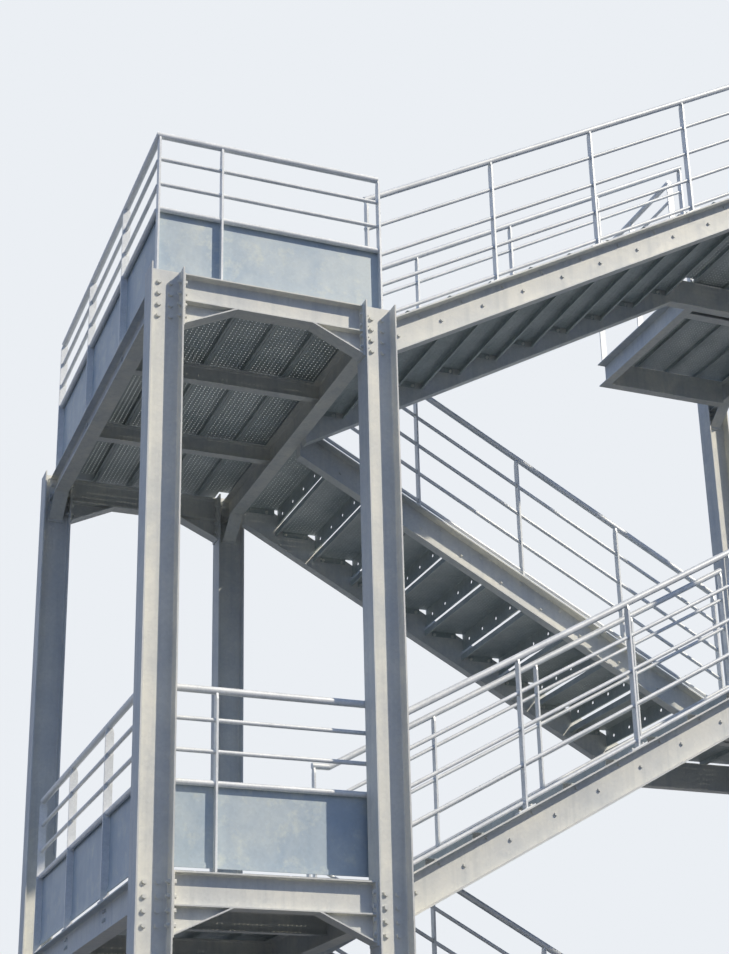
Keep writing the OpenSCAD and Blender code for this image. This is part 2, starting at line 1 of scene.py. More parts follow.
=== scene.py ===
"""Looks of an open steel stair tower: zinc finishes, bolts and perforated sheet."""

import json
import logging
import math
from dataclasses import dataclass, field
from enum import Enum
from itertools import product

import bmesh
import bpy
from bmesh.types import BMEdge, BMesh, BMVert
from bpy.types import ID, Material, Mesh, Node, NodeSocket, NodeTree, Object, World
from mathutils import Matrix, Vector


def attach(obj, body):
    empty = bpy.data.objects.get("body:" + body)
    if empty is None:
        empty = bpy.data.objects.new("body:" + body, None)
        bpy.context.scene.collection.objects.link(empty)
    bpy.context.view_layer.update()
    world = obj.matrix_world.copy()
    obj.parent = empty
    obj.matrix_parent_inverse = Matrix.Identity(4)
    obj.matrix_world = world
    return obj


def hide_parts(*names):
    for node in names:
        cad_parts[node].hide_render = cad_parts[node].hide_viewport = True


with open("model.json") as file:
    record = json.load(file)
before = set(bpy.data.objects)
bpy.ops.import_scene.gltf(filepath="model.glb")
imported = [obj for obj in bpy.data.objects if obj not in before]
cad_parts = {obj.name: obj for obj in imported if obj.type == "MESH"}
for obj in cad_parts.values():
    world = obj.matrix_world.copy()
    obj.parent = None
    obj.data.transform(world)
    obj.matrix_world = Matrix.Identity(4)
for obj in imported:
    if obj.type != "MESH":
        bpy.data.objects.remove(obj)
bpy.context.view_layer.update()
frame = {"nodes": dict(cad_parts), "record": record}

LOG = logging.getLogger("stair_tower")
MM = 0.001
# Distances under which two corners are joined, or count as one place
WELD = 0.02 * MM
NEAR = 0.01 * MM
BODY = "root"


class Slot(Enum):
    """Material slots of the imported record."""

    SECTIONS = "galvanised_sections"
    TREADS = "galvanised_treads"
    RAILS = "galvanised_rails"
    SHEET = "galvanised_sheet"


@dataclass(frozen=True)
class Tower:
    """Sizes of the steelwork in millimetres, the same as those of the solids."""

    # Storeys and landings, which are measured to the middles of their columns
    storey: float = 3500
    flight_treads: int = 10
    going: float = 300
    landing_l: float = 1325
    landing_w: float = 3060
    end_landing_l: float = 1465
    deck_past: float = 10
    # Columns and beams
    col_d: float = 197
    col_w: float = 160
    col_web: float = 7
    col_flange: float = 9
    beam_w: float = 100
    end_plate_t: float = 12
    beam_web: float = 6
    joist_w: float = 64
    joist_count: int = 2
    # Flights between the column lines, and their stringers
    flight_setback: float = 95
    well_gap: float = 40
    stringer_w: float = 75
    stringer_web: float = 6
    nosing_drop: float = 44
    # Folded planks and treads
    left_planks: int = 5
    right_planks: int = 4
    plank_fold: float = 40
    plank_gap: float = 3
    sheet_t: float = 3
    bend: float = 7
    lip: float = 14
    tread_fold: float = 45
    riser_gap: float = 30
    tread_lap: float = 20
    tread_plate_l: float = 200
    tread_plate_t: float = 5
    # Guards, their posts and the feet of the posts
    post_d: float = 50
    post_t: float = 12
    post_foot_l: float = 110
    post_foot_w: float = 54
    post_foot_t: float = 8
    guard_gap: float = 1
    guard_past: float = 75
    front_post: float = 395
    first_side_post: float = 935
    side_post_gap: float = 965
    side_posts: int = 3
    second_post: float = 930
    post_gap: float = 780
    middle_posts: int = 3
    guard_h: float = 1047
    flight_guard_h: float = 930
    handrail_d: float = 42.4
    end_posts: int = 3
    # Base plates, and the clear space round column heads
    base_t: float = 20
    anchor_gap: float = 230
    head_clear: float = 6

    @property
    def riser(self) -> float:
        """Height of one riser."""
        return self.storey / (2 * self.flight_treads + 1)

    @property
    def riser_fold(self) -> float:
        """Depth of the riser folded down from a nosing."""
        return self.riser - self.riser_gap

    @property
    def slope(self) -> float:
        """Rise over run of a flight."""
        return self.riser / self.going

    @property
    def outer_tip(self) -> float:
        """Distance of the flange tips of a flight from the line of the columns."""
        return self.col_w / 2 + self.flight_setback

    @property
    def flight_w(self) -> float:
        """Width of a flight over its stringers."""
        return (self.landing_w - 2 * self.outer_tip - self.well_gap) / 2

    @property
    def back_flight_y(self) -> float:
        """Place along Y where the back flights start."""
        return self.outer_tip + self.flight_w + self.well_gap

    @property
    def tread_l(self) -> float:
        """Length of a tread between the stringer webs."""
        return self.flight_w - 2 * self.stringer_w

    @property
    def tread_w(self) -> float:
        """Width of a tread, from its nosing to its lap under the next one."""
        return self.going + self.tread_lap

    @property
    def deck_edge(self) -> float:
        """Edge of the left decks."""
        return self.landing_l + self.deck_past

    @property
    def flight_end(self) -> float:
        """Place along X where the front flights end."""
        return self.deck_edge + self.flight_treads * self.going

    @property
    def end_col_x(self) -> float:
        """Place of the end columns along X."""
        return self.flight_end + self.end_landing_l

    @property
    def stringer_start(self) -> float:
        """Place along X where the stringers start at the left landings."""
        return self.landing_l + self.beam_w / 2

    @property
    def pitch(self) -> float:
        """Angle of the flights in radians."""
        return math.atan(self.slope)

    @property
    def guard_out(self) -> float:
        """Guard line of a side guard past the middle of its beam."""
        return (self.beam_w - self.post_d) / 2

    @property
    def guard_y(self) -> float:
        """Guard line behind the front columns of a left landing."""
        return self.col_w / 2 + self.guard_gap + self.post_d / 2

    @property
    def end_foot_back(self) -> float:
        """Middle of the end foot of a left front guard before the guard's end."""
        return (self.post_foot_l - self.post_t) / 2

    @property
    def foot_reach(self) -> float:
        """Distance from a guard line to the deck beside its post feet."""
        return self.post_foot_w / 2 + self.plank_gap

    @property
    def joists(self) -> list[float]:
        """Places of all the joists of a left landing along Y, the edge joist first."""
        edge = self.col_w / 2 + self.guard_gap + self.joist_w / 2
        step = self.landing_w / (self.joist_count + 1)
        return [edge] + [k * step for k in range(1, self.joist_count + 1)]

    def string_z(self, x: float, level: float, rise: int) -> float:
        """Top of a stringer that meets a left deck and climbs right (1) or left (-1)."""
        return level - self.nosing_drop + rise * self.slope * (x - self.deck_edge)

    @property
    def kink_x(self) -> float:
        """Place along X where a front guard of a right landing meets the flight."""
        handrail = self.guard_h - self.handrail_d / 2
        climb = self.flight_treads * self.riser - self.plank_fold + handrail
        return self.deck_edge + (climb + self.nosing_drop - self.flight_guard_h) / self.slope

    @property
    def middle_post_x(self) -> list[float]:
        """Places along X of the middle posts of every flight."""
        return [self.deck_edge + self.second_post + k * self.post_gap
                for k in range(self.middle_posts)]

    def left_level(self, storey: int) -> float:
        """Deck level of the left landing of a storey, with storeys counted from 0."""
        return storey * self.storey + (self.flight_treads + 1) * self.riser

    def right_level(self, storey: int) -> float:
        """Deck level of the right landing at the top of a storey."""
        return (storey + 1) * self.storey

    def back_treads(self, storey: int) -> int:
        """Treads of a back flight; the upper flight meets a right landing with one more."""
        return self.flight_treads + storey

    def at(self, x: float, y: float, z: float) -> Vector:
        """A place in metres, from millimetres past the front left column and the ground."""
        return Vector((x - self.end_col_x / 2, y - self.landing_w / 2, z)) * MM


TOWER = Tower()
ALONG_X = Vector((1, 0, 0))
ALONG_Y = Vector((0, 1, 0))
UP = Vector((0, 0, 1))
MIRROR_X = Matrix.Scale(-1, 4, ALONG_X)


def linear(colour: str) -> tuple[float, float, float, float]:
    """Turns an sRGB hex colour into linear values.

    Args:
        colour: Six hex digits after a hash sign.

    Returns:
        Linear red, green and blue with an alpha of one.
    """
    parts = [int(colour[i:i + 2], 16) / 255 for i in (1, 3, 5)]
    red, green, blue = [c / 12.92 if c <= 0.04045 else ((c + 0.055) / 1.055) ** 2.4
                        for c in parts]
    return red, green, blue, 1.0


def add_node(tree: NodeTree, kind: str, settings: dict | None = None,
             links: dict | None = None) -> Node:
    """Adds a shader node with its settings and links.

    Args:
        tree: The node tree of the material or world.
        kind: Type name of the node after ShaderNode.
        settings: Values of inputs or properties by name or input number.
        links: Output sockets by the name or number of the input they feed.

    Returns:
        The new node.
    """
    node = tree.nodes.new("ShaderNode" + kind)
    for name, value in (settings or {}).items():
        if isinstance(name, int) or name in node.inputs:
            node.inputs[name].default_value = value
        else:
            setattr(node, name, value)
    for name, socket in (links or {}).items():
        tree.links.new(socket, node.inputs[name])
    return node


def empty_tree(owner: Material | World) -> NodeTree:
    """Gives a material or a world a node tree to fill.

    Args:
        owner: The material or world.

    Returns:
        Its empty node tree.
    """
    owner.use_nodes = True
    owner.node_tree.nodes.clear()
    return owner.node_tree


def mesh_of(name: str, bm: BMesh) -> Mesh:
    """Stores a bmesh as a mesh.

    Args:
        name: Name of the mesh.
        bm: The bmesh, which is freed.

    Returns:
        The mesh.
    """
    mesh = bpy.data.meshes.new(name)
    bm.to_mesh(mesh)
    bm.free()
    return mesh


def new_verts(grown: dict) -> list[BMVert]:
    """The corners among what an extrusion made."""
    return [part for part in grown["geom"] if isinstance(part, BMVert)]


def object_of(name: str, data: ID) -> Object:
    """Puts a mesh, a lamp or a camera into the scene.

    Args:
        name: Name of the object.
        data: What it shows.

    Returns:
        The object.
    """
    made = bpy.data.objects.new(name, data)
    bpy.context.scene.collection.objects.link(made)
    return made


@dataclass(frozen=True)
class ZincFinish:
    """Hot dip galvanised steel: a dull zinc skin with crystals, clouds and run marks.

    Weathered zinc hides most of its mirror under a matt film, so metallic is low. Real
    crystals are 5 to 12 mm across and are drawn a little coarser, so that they show.
    """

    name: str
    light: str
    dark: str
    bloom: str
    run: str
    metallic: float
    roughness: float
    cloud_mm: float = 260
    spangle_mm: float = 22
    spangle_depth: float = 0.10
    bloom_share: float = 0.35
    run_share: float = 0.25
    run_length_mm: float = 900
    run_width_mm: float = 45
    run_edges: tuple[float, float] = (0.50, 0.72)
    cloud_edges: tuple[float, float] = (0.34, 0.66)
    bloom_edges: tuple[float, float] = (0.52, 0.68)
    bloom_fineness: float = 2.3
    crystal_polish: float = 0.08
    crystal_dullness: float = 0.10
    bump_mm: float = 0.25
    bump_strength: float = 0.35

    def material(self) -> Material:
        """Builds the material.

        Returns:
            A new material with its nodes.
        """
        made = bpy.data.materials.new(self.name)
        tree = empty_tree(made)
        place = add_node(tree, "TexCoord").outputs["Object"]
        colour = self._tones(tree, place)
        spangle = add_node(tree, "TexVoronoi",
                           {"Scale": 1 / (self.spangle_mm * MM), "Randomness": 0.95},
                           {"Vector": place})
        grey = add_node(tree, "RGBToBW", None, {"Color": spangle.outputs["Color"]})
        gain = add_node(tree, "MapRange",
                        {"To Min": 1 - self.spangle_depth, "To Max": 1 + self.spangle_depth},
                        {"Value": grey.outputs["Val"]})
        toned = add_node(tree, "Mix", {"data_type": "RGBA", "blend_type": "MULTIPLY", 0: 1.0},
                         {6: colour, 7: gain.outputs["Result"]})
        rough = add_node(tree, "MapRange",
                         {"To Min": self.roughness - self.crystal_polish,
                          "To Max": self.roughness + self.crystal_dullness},
                         {"Value": grey.outputs["Val"]})
        grain = add_node(tree, "TexNoise", {"Scale": 1 / (self.spangle_mm * MM), "Detail": 4.0},
                         {"Vector": place})
        relief = add_node(tree, "Bump",
                          {"Strength": self.bump_strength, "Distance": self.bump_mm * MM},
                          {"Height": grain.outputs["Fac"]})
        surface = add_node(tree, "BsdfPrincipled", {"Metallic": self.metallic},
                           {"Base Color": toned.outputs[2],
                            "Roughness": rough.outputs["Result"],
                            "Normal": relief.outputs["Normal"]})
        add_node(tree, "OutputMaterial", None, {"Surface": surface.outputs["BSDF"]})
        return made

    def _tones(self, tree: NodeTree, place: NodeSocket) -> NodeSocket:
        """Lays light clouds, chalky patches and upright run marks over the dark tone.

        Args:
            tree: The node tree of the material.
            place: Socket with the place on the object.

        Returns:
            Socket with the colour.
        """
        cloud = self.cloud_mm * MM
        wide = 1 / (self.run_width_mm * MM)
        upright = add_node(tree, "Mapping",
                           {"Scale": (wide, wide, 1 / (self.run_length_mm * MM))},
                           {"Vector": place}).outputs["Vector"]
        layers = (
            (self.light, place, self.cloud_edges, 1.0,
             {"Scale": 1 / cloud, "Detail": 5.0, "Roughness": 0.6, "Distortion": 0.4}),
            (self.bloom, place, self.bloom_edges, self.bloom_share,
             {"Scale": self.bloom_fineness / cloud, "Detail": 8.0, "Roughness": 0.7}),
            (self.run, upright, self.run_edges, self.run_share,
             {"Scale": 1.0, "Detail": 3.0}))
        base = add_node(tree, "RGB")
        base.outputs[0].default_value = linear(self.dark)
        colour = base.outputs[0]
        for tone, spot, (start, full), share, settings in layers:
            noise = add_node(tree, "TexNoise", settings, {"Vector": spot})
            amount = add_node(tree, "MapRange",
                              {"From Min": start, "From Max": full, "To Max": share},
                              {"Value": noise.outputs["Fac"]})
            colour = add_node(tree, "Mix", {"data_type": "RGBA", 7: linear(tone)},
                              {0: amount.outputs["Result"], 6: colour}).outputs[2]
        return colour


FINISHES = {
    # Rolled sections: thick matt zinc, which looks pale and a little creamy in the light
    Slot.SECTIONS: ZincFinish(
        "galvanised rolled steel", light="#E0DFD7", dark="#CCCECC", bloom="#EDEADE",
        run="#A9AFB2", metallic=0.06, roughness=0.62, cloud_mm=320, spangle_mm=18,
        spangle_depth=0.05),
    # Folded sheet underfoot: greyer and duller, with crystals that show
    Slot.TREADS: ZincFinish(
        "galvanised folded sheet", light="#B9C0BE", dark="#A3ABAA", bloom="#C8CBC6",
        run="#868D8C", metallic=0.06, roughness=0.52, spangle_mm=14, run_share=0.15),
    # Tubes and flat bars: thin even zinc, whiter, with a soft shine along the tube
    Slot.RAILS: ZincFinish(
        "galvanised tube", light="#EAECEC", dark="#D9DCDD", bloom="#F2F2EE",
        run="#C4C9CB", metallic=0.12, roughness=0.42, cloud_mm=160, spangle_mm=9,
        spangle_depth=0.06, run_share=0.12),
    # Thin sheet of the panels: blue grey, with chalky patches like clouds
    Slot.SHEET: ZincFinish(
        "galvanised sheet", light="#C2CCCF", dark="#A6B6C3", bloom="#D8DCD1",
        run="#A1B0BB", metallic=0.06, roughness=0.50, cloud_mm=300, spangle_mm=16,
        spangle_depth=0.045, bloom_share=0.6, run_share=0.3, run_width_mm=90),
}


@dataclass
class Piece:
    """A part under construction: one mesh that grows from stamps and plates."""

    name: str
    slot: Slot
    bm: BMesh = field(default_factory=bmesh.new)

    def stamp(self, mesh: Mesh, matrix: Matrix) -> None:
        """Adds a copy of a mesh.

        Args:
            mesh: The mesh to copy.
            matrix: Its place; a mirror turns its faces round.
        """
        verts = len(self.bm.verts)
        faces = len(self.bm.faces)
        self.bm.from_mesh(mesh)
        self.bm.verts.ensure_lookup_table()
        self.bm.faces.ensure_lookup_table()
        bmesh.ops.transform(self.bm, matrix=matrix, verts=self.bm.verts[verts:])
        if matrix.determinant() < 0:
            bmesh.ops.reverse_faces(self.bm, faces=self.bm.faces[faces:])

    def box(self, low: Vector, high: Vector) -> None:
        """Adds a plain plate between two corners in metres."""
        matrix = Matrix.Translation((low + high) / 2) @ Matrix.Diagonal((*(high - low), 1.0))
        bmesh.ops.create_cube(self.bm, size=1.0, matrix=matrix)

    def finish(self, materials: dict[Slot, Material], *replaced: str) -> None:
        """Turns the piece into an object that rides on the stair.

        Args:
            materials: The material of each slot.
            replaced: CAD nodes that the piece stands for.
        """
        mesh = mesh_of(self.name, self.bm)
        mesh.materials.append(materials[self.slot])
        made = object_of(self.name, mesh)
        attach(made, BODY)
        if replaced:
            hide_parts(*replaced)
        mesh.calc_loop_triangles()
        LOG.info("%s: %d triangles", self.name, len(mesh.loop_triangles))


class HoleForm(Enum):
    """Corners of a punched hole; a small one is drawn square to stay light."""

    SQUARE = 4
    ROUND = 6


@dataclass(frozen=True)
class PunchedPlate:
    """Flat plate with rows of punched holes, its top at zero, in millimetres."""

    size_x: float
    size_y: float
    pitch_x: float
    pitch_y: float
    hole_d: float
    margin: float
    form: HoleForm = HoleForm.SQUARE

    def mesh(self) -> Mesh:
        """Builds the plate from one punched cell.

        Returns:
            A closed mesh that starts at the origin.
        """
        field_x = self.size_x - 2 * self.margin
        field_y = self.size_y - 2 * self.margin
        count_x = max(1, round(field_x / self.pitch_x))
        count_y = max(1, round(field_y / self.pitch_y))
        step = Vector((field_x / count_x, field_y / count_y, 0)) * MM
        bm = bmesh.new()
        self._cell(bm, step)
        self._repeat(bm, Vector((step.x, 0, 0)), count_x)
        self._repeat(bm, Vector((0, step.y, 0)), count_y)
        bmesh.ops.remove_doubles(bm, verts=bm.verts, dist=WELD)
        bmesh.ops.translate(bm, verts=bm.verts, vec=step / 2)
        self._border(bm, Vector((field_x, field_y, 0)) * MM)
        grown = bmesh.ops.extrude_face_region(bm, geom=bm.faces[:])
        bmesh.ops.translate(bm, verts=new_verts(grown), vec=(0, 0, -TOWER.sheet_t * MM))
        bmesh.ops.recalc_face_normals(bm, faces=bm.faces)
        return mesh_of("punched plate", bm)

    def _cell(self, bm: BMesh, step: Vector) -> None:
        """Makes one square of sheet round one hole.

        Args:
            bm: An empty bmesh.
            step: Size of the square in metres.
        """
        turn = math.pi / 4 if self.form is HoleForm.SQUARE else 0.0
        ring = bmesh.ops.create_circle(bm, segments=self.form.value, radius=self.hole_d * MM / 2,
                                       matrix=Matrix.Rotation(turn, 4, "Z"))
        edges = list({e for v in ring["verts"] for e in v.link_edges})
        grown = bmesh.ops.extrude_edge_only(bm, edges=edges)
        # The copy of the ring is pulled out to the corners and sides of the square
        for v in new_verts(grown):
            on_side = abs(v.co.y) < NEAR
            v.co.x = math.copysign(step.x / 2, v.co.x)
            v.co.y = 0 if on_side else math.copysign(step.y / 2, v.co.y)

    def _repeat(self, bm: BMesh, step: Vector, count: int) -> None:
        """Copies all that is there along a line.

        Args:
            bm: The bmesh so far.
            step: Step from copy to copy in metres.
            count: Number with the first.
        """
        if count > 1:
            bmesh.ops.spin(bm, geom=bm.verts[:] + bm.edges[:] + bm.faces[:], angle=0.0,
                           dvec=step, steps=count - 1, use_duplicate=True)

    def _border(self, bm: BMesh, size: Vector) -> None:
        """Grows the plain edge of the sheet round the punched field.

        Args:
            bm: The punched field, which starts at the origin.
            size: Its size in metres.
        """

        def outside(edge: BMEdge) -> bool:
            """Whether an edge lies on the rim of the punched field."""
            return any(all(abs(v.co[i] - side) < NEAR for v in edge.verts)
                       for i in (0, 1) for side in (0, size[i]))

        rim = [e for e in bm.edges if e.is_boundary and outside(e)]
        grown = bmesh.ops.extrude_edge_only(bm, edges=rim)
        for v in new_verts(grown):
            for i in (0, 1):
                if abs(v.co[i]) < NEAR:
                    v.co[i] -= self.margin * MM
                elif abs(v.co[i] - size[i]) < NEAR:
                    v.co[i] += self.margin * MM
        bmesh.ops.translate(bm, verts=bm.verts, vec=Vector((1, 1, 0)) * self.margin * MM)


@dataclass(frozen=True)
class FoldedEdge:
    """Folded edge of a sheet, with its bend at the origin, in millimetres.

    The sheet runs towards +X at the top and hangs down to the depth. A little of it stays
    flat beside the bend, and a face counts as upright by how far its normal lies along X.
    """

    length: float
    depth: float
    lip: bool = True
    bent: bool = True
    top: float = 0.0
    flat_left: float = 0.2
    bend_steps: int = 3
    upright: float = 0.9

    def mesh(self) -> Mesh:
        """Builds the edge from its outline, bent and thickened.

        Returns:
            A closed mesh that runs along +Y.
        """
        points = [(TOWER.lip, -self.depth)] if self.lip else []
        points += [(0, -self.depth), (0, -self.top)]
        if self.bent:
            points.append((TOWER.bend, 0))
        bm = bmesh.new()
        verts = [bm.verts.new(Vector((x, 0, z)) * MM) for x, z in points]
        line = [bm.edges.new(pair) for pair in zip(verts, verts[1:])]
        grown = bmesh.ops.extrude_edge_only(bm, edges=line)
        bmesh.ops.translate(bm, verts=new_verts(grown), vec=(0, self.length * MM, 0))
        if self.bent:
            corner = [e for e in bm.edges if all(v.co.xz.length < NEAR for v in e.verts)]
            bmesh.ops.bevel(bm, geom=corner, offset=(TOWER.bend - self.flat_left) * MM,
                            offset_type="OFFSET", segments=self.bend_steps, profile=0.5,
                            affect="EDGES", material=-1)
        bmesh.ops.recalc_face_normals(bm, faces=bm.faces)
        # Faces look out of the fold, so that the thickness goes inward
        if sum(f.normal.x for f in bm.faces if abs(f.normal.x) > self.upright) > 0:
            bmesh.ops.reverse_faces(bm, faces=bm.faces)
        bmesh.ops.solidify(bm, geom=bm.faces[:], thickness=TOWER.sheet_t * MM)
        bmesh.ops.recalc_face_normals(bm, faces=bm.faces)
        return mesh_of("folded edge", bm)


@dataclass
class PunchedSheets:
    """Perforated decks and treads, folded from sheet.

    The small holes are drawn square and a little apart, so that they show and stay few.
    """

    materials: dict[Slot, Material]
    deck_pitch: tuple[float, float] = (28, 30)
    tread_pitch: tuple[float, float] = (28, 32)
    hole_d: float = 10
    margin: float = 3
    riser_holes: int = 5
    riser_hole_d: float = 26
    riser_margin: float = 0.5
    riser_top: float = 17
    riser_foot: float = 10
    meshes: dict[PunchedPlate | FoldedEdge, Mesh] = field(default_factory=dict)

    def _made(self, sheet: PunchedPlate | FoldedEdge) -> Mesh:
        """The mesh of a sheet, made once for each size.

        Args:
            sheet: A plate or an edge.

        Returns:
            Its mesh.
        """
        if sheet not in self.meshes:
            self.meshes[sheet] = sheet.mesh()
        return self.meshes[sheet]

    def _flat(self, width: float, length: float, pitch: tuple[float, float]) -> Mesh:
        """The perforated flat of a plank or tread of a width over its folds."""
        flat = width - 2 * TOWER.bend
        return self._made(PunchedPlate(flat, length, *pitch, self.hole_d, self.margin))

    def plank(self, piece: Piece, x: float, y: float, z: float, width: float,
              length: float) -> None:
        """Adds a whole deck plank.

        Args:
            piece: The deck that it belongs to.
            x: Left edge.
            y: Front end.
            z: Top.
            width: Width over the folds.
            length: Length along Y.
        """
        piece.stamp(self._flat(width, length, self.deck_pitch),
                    Matrix.Translation(TOWER.at(x + TOWER.bend, y, z)))
        edge = self._made(FoldedEdge(length, TOWER.plank_fold))
        piece.stamp(edge, Matrix.Translation(TOWER.at(x, y, z)))
        piece.stamp(edge, Matrix.Translation(TOWER.at(x + width, y, z)) @ MIRROR_X)

    def notched_plank(self, piece: Piece, x: float, y: float, z: float, width: float,
                      side: int) -> None:
        """Adds an outer plank of a left deck, notched at the back column.

        Args:
            piece: The deck that it belongs to.
            x: Left edge.
            y: Front end.
            z: Top.
            width: Width over the folds.
            side: -1 where the column is at its left, 1 at its right.
        """
        far = TOWER.landing_w + TOWER.beam_w / 2
        notch_y = TOWER.landing_w - TOWER.col_w / 2 - TOWER.head_clear
        cut_x = TOWER.col_d / 2 + TOWER.head_clear
        piece.stamp(self._flat(width, notch_y - y, self.deck_pitch),
                    Matrix.Translation(TOWER.at(x + TOWER.bend, y, z)))
        low_x = cut_x if side < 0 else x + TOWER.bend
        high_x = x + width - TOWER.bend if side < 0 else TOWER.landing_l - cut_x
        piece.box(TOWER.at(low_x, notch_y, z - TOWER.sheet_t), TOWER.at(high_x, far, z))
        for edge_side, stop in ((side, notch_y), (-side, far)):
            edge = self._made(FoldedEdge(stop - y, TOWER.plank_fold))
            place = Matrix.Translation(TOWER.at(x if edge_side < 0 else x + width, y, z))
            piece.stamp(edge, place if edge_side < 0 else place @ MIRROR_X)

    def left_deck(self, piece: Piece, storey: int) -> None:
        """Lays the deck of a left landing behind its front guard.

        Args:
            piece: The deck.
            storey: Its storey, counted from 0.
        """
        level = TOWER.left_level(storey)
        start = TOWER.foot_reach - TOWER.guard_out
        y = TOWER.guard_y + TOWER.foot_reach
        step = (TOWER.deck_edge - start) / TOWER.left_planks
        width = step - TOWER.plank_gap
        # The first and the last plank end at a back column on their outer side
        sides = {0: -1, TOWER.left_planks - 1: 1}
        for k in range(TOWER.left_planks):
            if k in sides:
                self.notched_plank(piece, start + k * step, y, level, width, sides[k])
            else:
                self.plank(piece, start + k * step, y, level, width,
                           TOWER.landing_w + TOWER.beam_w / 2 - y)

    def right_deck(self, piece: Piece, storey: int) -> None:
        """Lays the deck of a right landing with its short plank and riser.

        Args:
            piece: The deck.
            storey: Its storey, counted from 0.
        """
        level = TOWER.right_level(storey)
        start = TOWER.flight_end + TOWER.going
        stop = TOWER.end_col_x + TOWER.guard_out - TOWER.post_foot_w / 2
        step = (stop - start) / TOWER.right_planks
        inset = TOWER.stringer_w / 2 + TOWER.foot_reach
        y = TOWER.outer_tip + inset
        for k in range(TOWER.right_planks):
            self.plank(piece, start + k * step, y, level, step - TOWER.plank_gap,
                       TOWER.landing_w - TOWER.outer_tip - y)
        self.plank(piece, TOWER.flight_end, y, level, TOWER.going - TOWER.plank_gap,
                   TOWER.flight_w - 2 * inset)
        riser_y = TOWER.outer_tip + TOWER.stringer_w
        self.riser(piece, Matrix.Translation(TOWER.at(TOWER.flight_end, riser_y, level)),
                   TOWER.plank_fold, TOWER.riser_fold, False)

    def riser(self, piece: Piece, place: Matrix, top: float, depth: float, lip: bool) -> None:
        """Adds the upright riser sheet with its row of large holes.

        Args:
            piece: What it belongs to.
            place: Place of the nosing.
            top: Distance of its upper edge below the nosing.
            depth: Distance of its lower edge below the nosing.
            lip: Whether a lip is folded in at the bottom.
        """
        height = depth - self.riser_foot - top
        sheet = PunchedPlate(height, TOWER.tread_l, height, TOWER.tread_l / self.riser_holes,
                             self.riser_hole_d, self.riser_margin, HoleForm.ROUND)
        upright = (Matrix.Translation(Vector((TOWER.sheet_t, 0, -top)) * MM)
                   @ Matrix.Rotation(math.pi / 2, 4, "Y"))
        piece.stamp(self._made(sheet), place @ upright)
        foot = FoldedEdge(TOWER.tread_l, depth, lip, False, depth - self.riser_foot)
        piece.stamp(self._made(foot), place)

    def tread(self, width: float, front: float, back: float) -> Mesh:
        """Builds one tread with its folds and end plates, nosing at the origin.

        Args:
            width: Width over the folds.
            front: Depth of the front fold.
            back: Depth of the back fold.

        Returns:
            A mesh that can be stamped.
        """
        piece = Piece("tread", Slot.TREADS)
        piece.stamp(self._flat(width, TOWER.tread_l, self.tread_pitch),
                    Matrix.Translation(TOWER.bend * MM * ALONG_X))
        here = Matrix.Identity(4)
        if front > TOWER.tread_fold:
            piece.stamp(self._made(FoldedEdge(TOWER.tread_l, self.riser_top, False)), here)
            self.riser(piece, here, self.riser_top, front, True)
        else:
            piece.stamp(self._made(FoldedEdge(TOWER.tread_l, front)), here)
        piece.stamp(self._made(FoldedEdge(TOWER.tread_l, back)),
                    Matrix.Translation(width * MM * ALONG_X) @ MIRROR_X)
        low_x = (width - TOWER.tread_plate_l) / 2
        for y in (0, TOWER.tread_l - TOWER.tread_plate_t):
            low = Vector((low_x, y, -back)) * MM
            size = Vector((TOWER.tread_plate_l, TOWER.tread_plate_t,
                           back - TOWER.sheet_t)) * MM
            piece.box(low, low + size)
        return mesh_of(piece.name, piece.bm)

    def front_treads(self, piece: Piece, storey: int) -> None:
        """Lays the treads of a front flight, which climbs to the right.

        Args:
            piece: The treads.
            storey: Its storey, counted from 0.
        """
        first = self.tread(TOWER.tread_w, TOWER.plank_fold, TOWER.plank_fold)
        other = self.tread(TOWER.tread_w, TOWER.riser_fold, TOWER.tread_fold)
        y = TOWER.outer_tip + TOWER.stringer_w
        for k in range(TOWER.flight_treads):
            z = TOWER.left_level(storey) + k * TOWER.riser
            place = TOWER.at(TOWER.deck_edge + k * TOWER.going, y, z)
            piece.stamp(other if k else first, Matrix.Translation(place))

    def back_treads(self, piece: Piece, storey: int) -> None:
        """Lays the treads of a back flight, which climbs to the left.

        Args:
            piece: The treads.
            storey: Its storey, counted from 0.
        """
        first_w = TOWER.deck_edge + TOWER.going - TOWER.stringer_start - TOWER.plank_gap
        first = self.tread(first_w, TOWER.riser_fold, TOWER.tread_fold)
        other = self.tread(TOWER.tread_w, TOWER.riser_fold, TOWER.tread_fold)
        last = self.tread(TOWER.tread_w, TOWER.tread_fold, TOWER.tread_fold)
        y = TOWER.back_flight_y + TOWER.stringer_w
        for k in range(1, TOWER.back_treads(storey) + 1):
            z = TOWER.left_level(storey) - k * TOWER.riser
            place = TOWER.at(TOWER.deck_edge + k * TOWER.going, y, z)
            mesh = first if k == 1 else last if k > TOWER.flight_treads else other
            piece.stamp(mesh, Matrix.Translation(place) @ MIRROR_X)

    def build(self) -> None:
        """Builds every deck and every flight of treads."""
        for storey in (0, 1):
            left, right = 2 * storey + 1, 2 * storey + 2
            for name, node, lay in (
                    (f"deck_{left}", f"landing_{left}_deck", self.left_deck),
                    (f"deck_{right}", f"landing_{right}_deck", self.right_deck),
                    (f"treads_{left}", f"flight_{left}_treads", self.back_treads),
                    (f"treads_{right}", f"flight_{right}_treads", self.front_treads)):
                piece = Piece(f"{name}_perforated", Slot.TREADS)
                lay(piece, storey)
                piece.finish(self.materials, node)


class BoltEnd(Enum):
    """Which end of a bolt shows."""

    HEAD = "head"
    NUT = "nut"


